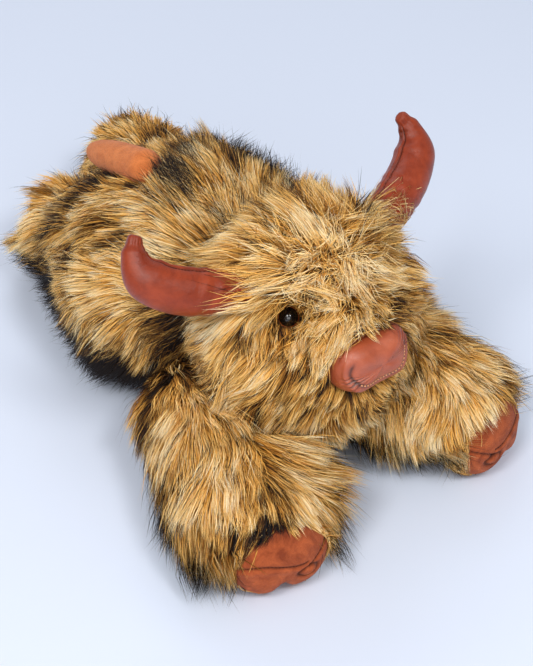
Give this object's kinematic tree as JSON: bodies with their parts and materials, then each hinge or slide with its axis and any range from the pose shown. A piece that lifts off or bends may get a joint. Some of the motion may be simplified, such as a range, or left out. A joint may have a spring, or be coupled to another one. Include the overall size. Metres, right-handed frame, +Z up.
{
  "type": "plush cow",
  "caption": "Long-pile plush cow lying on its belly, with leather-look horns and nose, suede hooves and tail, glossy eyes, and a head, legs and tail that flex at their seams.",
  "frame": {"origin": "on the floor, under the middle of the bounding box", "axes": "+Z up, the cow faces -Y, its left side is +X, +Y towards its hind legs"},
  "size_m": [0.2612, 0.4426, 0.2085],
  "materials": {
    "fur": "long tan pile, dark roots and tips",
    "filling": "polyester fibre filling",
    "belly_cloth": "short-pile cloth",
    "leather": "smooth, soft sheen",
    "suede": "matt suede nap",
    "tail_suede": "matt suede nap, lighter",
    "eye_gloss": "gloss",
    "washer": "plain moulded"
  },
  "bodies": {
    "torso": {"torso_cover": "fur", "belly_panel": "belly_cloth", "torso_filling": "filling"},
    "neck": {"neck_filling": "filling"},
    "head": {"head_cover": "fur", "head_filling": "filling", "eye_left": "eye_gloss", "eye_right": "eye_gloss", "eye_washer_left": "washer", "eye_washer_right": "washer", "nose_pad": "leather", "nose_filling": "filling", "horn_left": "leather", "horn_right": "leather", "horn_filling_left": "filling", "horn_filling_right": "filling"},
    "front_leg_left": {"leg_cover_front_left": "fur", "leg_filling_front_left": "filling", "hoof_upper_front_left": "suede", "hoof_sole_front_left": "suede", "hoof_filling_front_left": "filling"},
    "front_leg_right": {"leg_cover_front_right": "fur", "leg_filling_front_right": "filling", "hoof_upper_front_right": "suede", "hoof_sole_front_right": "suede", "hoof_filling_front_right": "filling"},
    "hind_leg_left": {"leg_cover_hind_left": "fur", "leg_filling_hind_left": "filling", "hoof_upper_hind_left": "suede", "hoof_sole_hind_left": "suede", "hoof_filling_hind_left": "filling"},
    "hind_leg_right": {"leg_cover_hind_right": "fur", "leg_filling_hind_right": "filling", "hoof_upper_hind_right": "suede", "hoof_sole_hind_right": "suede", "hoof_filling_hind_right": "filling"},
    "tail": {"tail_cover": "tail_suede", "tail_filling": "filling"}
  },
  "joints": [
    {"name": "neck_turn", "type": "hinge", "parent": "torso", "child": "neck", "pos_m": [0, -0.07017, 0.1], "axis": [0, 0, 1], "range_deg": [-15, 15], "stiffness_Nm_per_rad": 0.6},
    {"name": "head_nod", "type": "hinge", "parent": "neck", "child": "head", "pos_m": [0, -0.07017, 0.1], "axis": [1, 0, 0], "range_deg": [-12, 10], "stiffness_Nm_per_rad": 1.2},
    {"name": "front_left_splay", "type": "hinge", "parent": "torso", "child": "front_leg_left", "pos_m": [0.055, -0.07217, 0.0395], "axis": [0, 0, 1], "range_deg": [0, 25], "stiffness_Nm_per_rad": 0.3},
    {"name": "front_right_splay", "type": "hinge", "parent": "torso", "child": "front_leg_right", "pos_m": [-0.055, -0.07217, 0.0395], "axis": [0, 0, -1], "range_deg": [0, 25], "stiffness_Nm_per_rad": 0.3},
    {"name": "hind_left_splay", "type": "hinge", "parent": "torso", "child": "hind_leg_left", "pos_m": [0.082, 0.12983, 0.0395], "axis": [0, 0, -1], "range_deg": [0, 20], "stiffness_Nm_per_rad": 0.3},
    {"name": "hind_right_splay", "type": "hinge", "parent": "torso", "child": "hind_leg_right", "pos_m": [-0.001, 0.09183, 0.0395], "axis": [0, 0, 1], "range_deg": [0, 20], "stiffness_Nm_per_rad": 0.3},
    {"name": "tail_lift", "type": "hinge", "parent": "torso", "child": "tail", "pos_m": [0.002, 0.05183, 0.138], "axis": [1, 0, 0], "range_deg": [0, 60], "stiffness_Nm_per_rad": 0.04}
  ]
}
